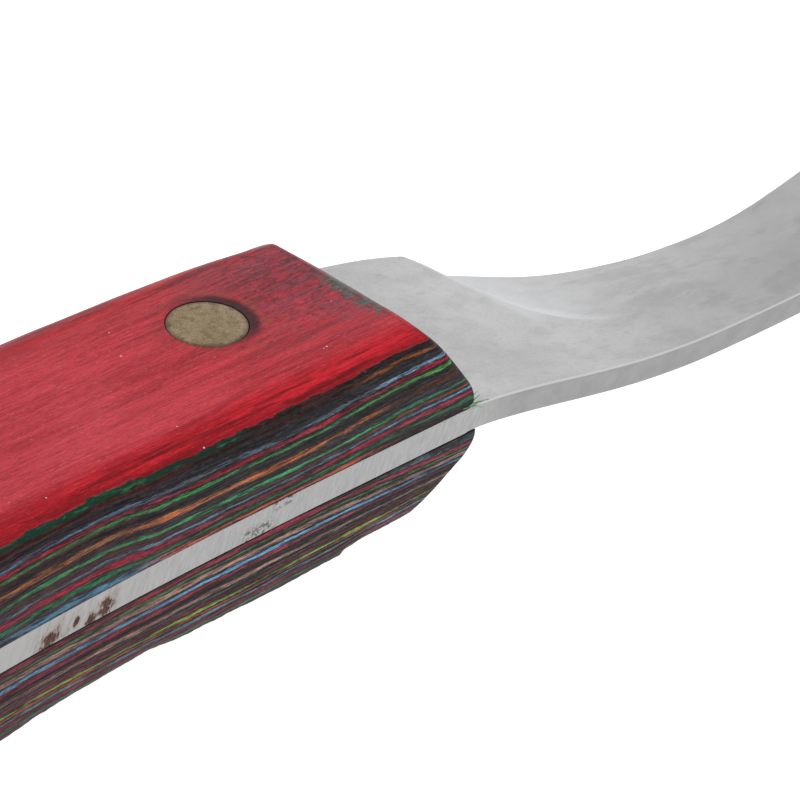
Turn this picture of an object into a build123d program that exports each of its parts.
from build123d import *
import os
from math import sin, cos, tan, atan, radians, degrees

os.makedirs("parts", exist_ok=True)

# Farrier's hoof knife: a thin steel blade with a curled tip, and a full tang between two
# riveted wooden scales.  Millimetres, +X from the handle to the blade, +Y towards the cutting
# edge, +Z up (the blade's hollow side faces up).  The origin is on the flat underside of the
# lower scale, at the middle of the handle's length.
# "Near" is the -Y side and "far" the +Y side.

# ---------------------------------------------------------------- driving dimensions
handle_length = 125.0        # butt to the front end of the scales
front_x = handle_length / 2  # front end of the scales
edge_y = -14.7               # near edge of tang and blade at the handle's front end

# Layers of the handle, from the bottom up
scale_thickness = 8.75       # each wooden scale
film_thickness = 0.25        # black epoxy bedding under each scale
tang_thickness = 2.8
lower_film_z = scale_thickness
tang_z = lower_film_z + film_thickness
upper_film_z = tang_z + tang_thickness
upper_scale_z = upper_film_z + film_thickness
handle_thickness = upper_scale_z + scale_thickness

front_bevel_run = 4.7        # bevel across the front end of each scale
front_bevel_rise = 4.1
upper_round = 3.2            # rounding along the outer edge of the upper scale
lower_round = 2.6            # rounding along the outer edge of the lower scale
corner_round = 1.6           # rounding of the front corners, seen from above

rivet_head_diameter = 8.0    # 5/16 inch cutlery rivet
rivet_head_thickness = 1.8
rivet_post_diameter = 3.2
rivet_post_chamfer = 0.4     # at the free end of the post
rivet_tube_diameter = 4.8
rivet_hole_diameter = 5.0
rivet_post_length = 13.0     # from the outer face of the head
rivet_tube_length = 14.5     # from the outer face of the head
rivet_tube_bore_length = 10.5
rivet_pitch = 37.0
rivet_setback = 20.2         # front rivet to the front end of the scales
rivet_y = 2.2
rivet_spots = {
    name: (front_x - rivet_setback - i * rivet_pitch, rivet_y)
    for i, name in enumerate(("front", "middle", "rear"))
}

edge_thickness = 0.35        # steel left at the cutting edge of the hook
hollow_depth = 0.18          # how far the ground bevel is hollowed below a straight line
full_hollow_width = 6.0      # narrower bevels are hollowed in proportion

# Cutting tools
overrun = 1.0                # how far a cut reaches past the surface it opens
bevel_overrun_rise = 0.87    # the front bevel's line carried on past the front end
bevel_overrun_run = 1.146    # and past the outer face
side_reach = 30.0            # profiles seen from the side are extruded this far each way in Y

# ---------------------------------------------------------------- outlines and stations
# All (forward of the scales' front end, sideways from the near edge there).
# Handle outline from the near side of the front end, round the butt and back along the far side.
handle_edge = [
    (0, 0), (-20, 0.2), (-40, 0.1), (-57, -0.6), (-75, -1.7), (-92, -2.4), (-105, -2.25),
    (-114, -0.9), (-120.8, 3.6), (-124.2, 10.0), (-124.8, 17.5), (-122.0, 24.3), (-116, 28.8),
    (-107, 30.2), (-97, 30.1), (-80, 29.6), (-57, 29.5), (-36, 29.6), (-22, 29.4),
    (-10, 29.0), (0, 28.8),
]
handle_start_tangent = (-1, 0.01)
handle_end_tangent = (1, -0.02)

# Far edge of the ricasso, from the scales to a little past the start of the bevel.
ricasso_edge = [(0, 28.8), (7.2, 28.85), (12.9, 28.75), (16.0, 28.45), (18.6, 27.95), (21.5, 27.2)]
ricasso_end_tangent = (1, -0.3)

# Top face of the steel forward of the scales: (forward, up from the tang's top face).
top_line = [
    (0, 0), (5, -0.60), (10, -1.57), (15, -2.67), (19.5, -3.65), (25, -4.72),
    (30, -5.46), (35, -5.98), (40, -6.27), (45, -6.46), (50, -6.59), (54, -6.62),
    (58, -6.42), (61.2, -6.02), (64.4, -5.43), (67.5, -4.76), (70.3, -4.03), (73, -3.12),
]

# Stations along the ground blade:
# forward, near edge, far edge, start of bevel, thickness, steel left at the far edge.
stations = [
    (18.6, 0.0, 27.95, 27.60, 2.77, 2.67),
    (19.1, 0.0, 27.85, 25.90, 2.77, 2.32),
    (19.5, 0.0, 27.76, 22.90, 2.77, 1.92),
    (20.3, 0.0, 27.57, 19.80, 2.77, 1.28),
    (21.0, 0.0, 27.38, 16.40, 2.76, 0.85),
    (22.0, 0.0, 27.06, 13.90, 2.76, 0.58),
    (23.3, 0.0, 26.55, 12.00, 2.75, 0.45),
    (25.2, 0.0, 25.62, 9.80, 2.75, 0.38),
    (27.5, 0.0, 24.35, 8.25, 2.74, 0.35),
    (30.5, 0.0, 22.65, 7.65, 2.73, 0.35),
    (34.5, 0.0, 20.98, 7.45, 2.72, 0.35),
    (39.5, 0.0, 19.45, 7.40, 2.71, 0.35),
    (45.0, 0.0, 18.26, 7.40, 2.70, 0.35),
    (51.0, 0.0, 17.60, 7.45, 2.68, 0.35),
    (57.0, 0.0, 17.17, 7.55, 2.60, 0.35),
    (62.5, 0.0, 16.84, 7.70, 2.48, 0.35),
    (67.5, 0.0, 16.58, 7.80, 2.32, 0.35),
    (70.5, 0.0, 16.38, 7.75, 2.20, 0.35),
    (73.0, 0.0, 16.15, 7.60, 2.08, 0.35),
]

# The hook: the tip curls up and back over the hollow side, its top face following two arcs,
# a lead-in and then the tighter curl.
lead_radius = 9.0
curl_radius = 4.6
lead_angle = 20.0            # climb of the top face where the lead-in begins
curl_start_angle = 50.0
# Stations round the hook: turning angle, near edge, far edge, start of bevel, thickness.
hook_stations = [
    (35.0, 0.05, 15.35, 7.40, 1.95),
    (50.0, 0.10, 14.45, 7.00, 1.86),
    (68.0, 0.15, 13.35, 6.60, 1.78),
    (90.0, 0.20, 12.15, 6.10, 1.70),
    (112.0, 0.25, 11.10, 5.70, 1.62),
    (134.0, 0.30, 10.15, 5.30, 1.55),
    (154.0, 0.40, 9.30, 5.00, 1.48),
    (172.0, 0.60, 8.40, 4.70, 1.42),
    (184.0, 0.95, 7.50, 4.50, 1.36),
    (191.0, 1.60, 6.60, 4.30, 1.32),
]


# ---------------------------------------------------------------- helpers
def handle_points(points):
    """Turn (forward, sideways) points into (x, y)."""
    return [(front_x + forward, edge_y + sideways) for forward, sideways in points]


def save(part, name):
    part.label = name
    export_step(part, f"parts/{name}.step")


# ---------------------------------------------------------------- top face of the steel
start_slope = -0.03          # nearly level where the steel leaves the scales
end_slope = tan(radians(lead_angle))
slope_step = 0.05            # half the distance over which a slope is taken

top_xs = [x for x, z in top_line]
top_zs = [z for x, z in top_line]
top_spans = [after - before for before, after in zip(top_xs, top_xs[1:])]


def cubic_bends():
    """Second derivatives at the top line's points, for a cubic spline with set end slopes."""
    chords = [(top_zs[i + 1] - top_zs[i]) / span for i, span in enumerate(top_spans)]
    slopes = [start_slope, *chords, end_slope]
    bends = [6 * (after - before) for before, after in zip(slopes, slopes[1:])]
    diagonal = [2 * (before + after) for before, after in zip([0, *top_spans], [*top_spans, 0])]
    # solve the tridiagonal system: eliminate forwards, then substitute back
    for i, span in enumerate(top_spans):
        weight = span / diagonal[i]
        diagonal[i + 1] -= weight * span
        bends[i + 1] -= weight * bends[i]
    bends[-1] /= diagonal[-1]
    for i in reversed(range(len(top_spans))):
        bends[i] = (bends[i] - top_spans[i] * bends[i + 1]) / diagonal[i]
    return bends


top_bends = cubic_bends()


def top_height(forward):
    """Height of the top face above the tang's, held constant past the ends of the line."""
    forward = min(max(forward, top_xs[0]), top_xs[-1])
    i = max(i for i in range(len(top_spans)) if top_xs[i] <= forward)
    span = top_spans[i]
    before = forward - top_xs[i]
    after = top_xs[i + 1] - forward
    return ((top_bends[i] * after ** 3 + top_bends[i + 1] * before ** 3) / (6 * span)
            + (top_zs[i] / span - top_bends[i] * span / 6) * after
            + (top_zs[i + 1] / span - top_bends[i + 1] * span / 6) * before)


def top_angle(forward):
    """Climb of the top face, in radians."""
    rise = top_height(forward + slope_step) - top_height(forward - slope_step)
    return atan(rise / (2 * slope_step))


# ---------------------------------------------------------------- blade
def steel_frame(forward, up, angle):
    """Plane across the blade: local x along +Y, local y along the top face's normal."""
    return Plane(origin=(front_x + forward, edge_y, upper_film_z + up),
                 x_dir=(0, 1, 0), z_dir=(cos(radians(angle)), 0, sin(radians(angle))))


def blade_sections():
    """Cross-sections: plane, near edge, far edge, start of bevel, thickness, steel left."""
    sections = []
    hook_x = stations[-1][0]
    for forward, *sizes in stations:
        # the last station takes the lead-in's angle, so that it meets the arc exactly
        angle = lead_angle if forward == hook_x else degrees(top_angle(forward))
        sections.append((steel_frame(forward, top_height(forward), angle), *sizes))

    lead_center = (hook_x - lead_radius * sin(radians(lead_angle)),
                   top_height(hook_x) + lead_radius * cos(radians(lead_angle)))
    center_shift = lead_radius - curl_radius
    curl_center = (lead_center[0] + center_shift * sin(radians(curl_start_angle)),
                   lead_center[1] - center_shift * cos(radians(curl_start_angle)))
    for angle, *sizes in hook_stations:
        if angle <= curl_start_angle:
            radius, center = lead_radius, lead_center
        else:
            radius, center = curl_radius, curl_center
        frame = steel_frame(center[0] + radius * sin(radians(angle)),
                            center[1] - radius * cos(radians(angle)), angle)
        sections.append((frame, *sizes, edge_thickness))
    return sections


def underside_point(forward, angle, thickness):
    """(x, z) on the underside, square below the top face."""
    return (front_x + forward + thickness * sin(angle),
            upper_film_z + top_height(forward) - thickness * cos(angle))


def build_blade():
    # Side profile of the tang and ricasso: level in the handle, then dropping to the blade.
    bevel_start = stations[0][0]
    bevel_start_thickness = stations[0][4]
    profile_steps = 8
    drop = [i * bevel_start / profile_steps for i in range(profile_steps + 1)]
    end_angle = top_angle(bevel_start)
    end_direction = (cos(end_angle), sin(end_angle))
    tang_top = [(front_x + forward, upper_film_z + top_height(forward)) for forward in drop]
    tang_bottom = [
        underside_point(0, 0, tang_thickness),
        *(underside_point(forward, top_angle(forward), tang_thickness) for forward in drop[1:-1]),
        underside_point(bevel_start, end_angle, bevel_start_thickness),
    ]
    tang_back_x = -front_x - 5   # behind the butt; the outline trims it
    outline_z = -5               # the outline's extrusion spans the whole profile
    outline_height = 40

    with BuildPart() as blade:
        # tang and ricasso, seen from the side
        with BuildSketch(Plane.XZ.offset(side_reach)):
            with BuildLine():
                Polyline((tang_back_x, tang_z), (tang_back_x, upper_film_z), tang_top[0])
                Spline(*tang_top, tangents=((1, start_slope), end_direction))
                Line(tang_top[-1], tang_bottom[-1])
                Spline(*reversed(tang_bottom),
                       tangents=((-end_direction[0], -end_direction[1]), (-1, 0)))
                Line(tang_bottom[0], (tang_back_x, tang_z))
            make_face()
        extrude(amount=-2 * side_reach)
        # trimmed to the outline seen from above
        with BuildSketch(Plane.XY.offset(outline_z)):
            with BuildLine():
                Spline(*handle_points(handle_edge),
                       tangents=(handle_start_tangent, handle_end_tangent))
                Spline(*handle_points(ricasso_edge),
                       tangents=(handle_end_tangent, ricasso_end_tangent))
                Polyline(*handle_points([ricasso_edge[-1], (ricasso_edge[-1][0], 0), (0, 0)]))
            make_face()
        extrude(amount=outline_height, mode=Mode.INTERSECT)
        # ground blade and hook
        for plane, near, far, bevel, thickness, left in blade_sections():
            hollow = hollow_depth * min(1.0, abs(bevel - far) / full_hollow_width)
            bevel_middle = ((bevel + far) / 2, -(thickness - left) / 2 - hollow)
            with BuildSketch(plane):
                with BuildLine():
                    Line((near, -thickness), (far, -thickness))
                    Line((far, -thickness), (far, -thickness + left))
                    ThreePointArc((far, -thickness + left), bevel_middle, (bevel, 0))
                    Line((bevel, 0), (near, 0))
                    Line((near, 0), (near, -thickness))
                make_face()
        loft()
        # rivet holes through the tang
        with BuildSketch(Plane.XY.offset(tang_z - overrun)):
            with Locations(*rivet_spots.values()):
                Circle(rivet_hole_diameter / 2)
        extrude(amount=tang_thickness + 2 * overrun, mode=Mode.SUBTRACT)
    save(blade.part, "blade")


# ---------------------------------------------------------------- wooden scales
def build_scale(name, base_z, outer_z, outward, edge_round):
    """One scale; outward is +1 if its outer face (at outer_z) faces up, -1 if down."""
    outer_tolerance = 0.01
    front_margin = 5.5       # leaves the straight front edge out of the rounding
    front_width = handle_edge[-1][1] - handle_edge[0][1]
    far_y = edge_y + front_width
    corner_spots = [(front_x, edge_y), (front_x, far_y)]
    corner_centers = [(front_x - corner_round, edge_y + corner_round),
                      (front_x - corner_round, far_y - corner_round)]

    with BuildPart() as scale:
        with BuildSketch(Plane.XY.offset(base_z)):
            with BuildLine():
                Spline(*handle_points(handle_edge),
                       tangents=(handle_start_tangent, handle_end_tangent))
                Line(*handle_points([handle_edge[-1], handle_edge[0]]))
            make_face()
        extrude(amount=scale_thickness)
        long_edges = [e for e in scale.edges()
                      if outward * (e.center().Z - outer_z) > -outer_tolerance
                      and e.center().X < front_x - front_margin]
        fillet(long_edges, radius=edge_round)
        # bevel across the front end
        cut_z = outer_z + outward * overrun
        bevel_z = outer_z - outward * (front_bevel_rise + bevel_overrun_rise)
        with BuildSketch(Plane.XZ.offset(side_reach)):
            with BuildLine():
                Polyline((front_x + overrun, bevel_z),
                         (front_x - front_bevel_run - bevel_overrun_run, cut_z),
                         (front_x + overrun, cut_z), close=True)
            make_face()
        extrude(amount=-2 * side_reach, mode=Mode.SUBTRACT)
        # round the two front corners: squares on the corners, less what is to stay
        with BuildSketch(Plane.XY.offset(-overrun)):
            with Locations(*corner_spots):
                Rectangle(2 * corner_round, 2 * corner_round)
            with Locations(*corner_centers):
                Circle(corner_round, mode=Mode.SUBTRACT)
                Rectangle(corner_round, 6 * corner_round,
                          align=(Align.MAX, Align.CENTER), mode=Mode.SUBTRACT)
            with Locations((front_x, edge_y + front_width / 2)):
                Rectangle(4 * corner_round, front_width - 2 * corner_round, mode=Mode.SUBTRACT)
        extrude(amount=handle_thickness + 2 * overrun, mode=Mode.SUBTRACT)
        # rivet holes and head recesses
        with BuildSketch(Plane.XY.offset(base_z - overrun)):
            with Locations(*rivet_spots.values()):
                Circle(rivet_hole_diameter / 2)
        extrude(amount=scale_thickness + 2 * overrun, mode=Mode.SUBTRACT)
        with BuildSketch(Plane.XY.offset(outer_z - outward * rivet_head_thickness)):
            with Locations(*rivet_spots.values()):
                Circle(rivet_head_diameter / 2)
        extrude(amount=outward * (rivet_head_thickness + overrun), mode=Mode.SUBTRACT)
    save(scale.part, name)


# ---------------------------------------------------------------- epoxy bedding films
def build_film(name, base_z):
    corner_margin = 0.5      # picks the upright edges at the front end
    with BuildPart() as film:
        with BuildSketch(Plane.XY.offset(base_z)):
            with BuildLine():
                Spline(*handle_points(handle_edge),
                       tangents=(handle_start_tangent, handle_end_tangent))
                Line(*handle_points([handle_edge[-1], handle_edge[0]]))
            make_face()
            with Locations(*rivet_spots.values()):
                Circle(rivet_hole_diameter / 2, mode=Mode.SUBTRACT)
        extrude(amount=film_thickness)
        corners = [e for e in film.edges().filter_by(Axis.Z)
                   if e.center().X > front_x - corner_margin]
        fillet(corners, radius=corner_round)
    save(film.part, name)


# ---------------------------------------------------------------- cutlery rivets
# Each rivet is a solid post pressed into a tube; the post's head is flush with the upper
# scale and the tube's head with the lower one.
def build_rivet_post(name, spot):
    with BuildPart() as post:
        with BuildSketch(Plane.XY.offset(handle_thickness - rivet_head_thickness)):
            with Locations(spot):
                Circle(rivet_head_diameter / 2)
        extrude(amount=rivet_head_thickness)
        with BuildSketch(Plane.XY.offset(handle_thickness - rivet_post_length)):
            with Locations(spot):
                Circle(rivet_post_diameter / 2)
        extrude(amount=rivet_post_length - rivet_head_thickness)
        chamfer(post.faces().sort_by(Axis.Z)[0].edges(), length=rivet_post_chamfer)
    save(post.part, name)


def build_rivet_tube(name, spot):
    with BuildPart() as tube:
        with BuildSketch(Plane.XY):
            with Locations(spot):
                Circle(rivet_head_diameter / 2)
        extrude(amount=rivet_head_thickness)
        with BuildSketch(Plane.XY.offset(rivet_head_thickness)):
            with Locations(spot):
                Circle(rivet_tube_diameter / 2)
        extrude(amount=rivet_tube_length - rivet_head_thickness)
        # blind bore, open at the top
        with BuildSketch(Plane.XY.offset(rivet_tube_length - rivet_tube_bore_length)):
            with Locations(spot):
                Circle(rivet_post_diameter / 2)
        extrude(amount=rivet_tube_bore_length + overrun, mode=Mode.SUBTRACT)
    save(tube.part, name)


# ---------------------------------------------------------------- all the pieces
build_blade()
build_scale("upper_scale", base_z=upper_scale_z, outer_z=handle_thickness, outward=1,
            edge_round=upper_round)
build_scale("lower_scale", base_z=0, outer_z=0, outward=-1, edge_round=lower_round)
build_film("upper_glue_film", upper_film_z)
build_film("lower_glue_film", lower_film_z)
for place, rivet_spot in rivet_spots.items():
    build_rivet_post(f"{place}_rivet_post", rivet_spot)
    build_rivet_tube(f"{place}_rivet_tube", rivet_spot)
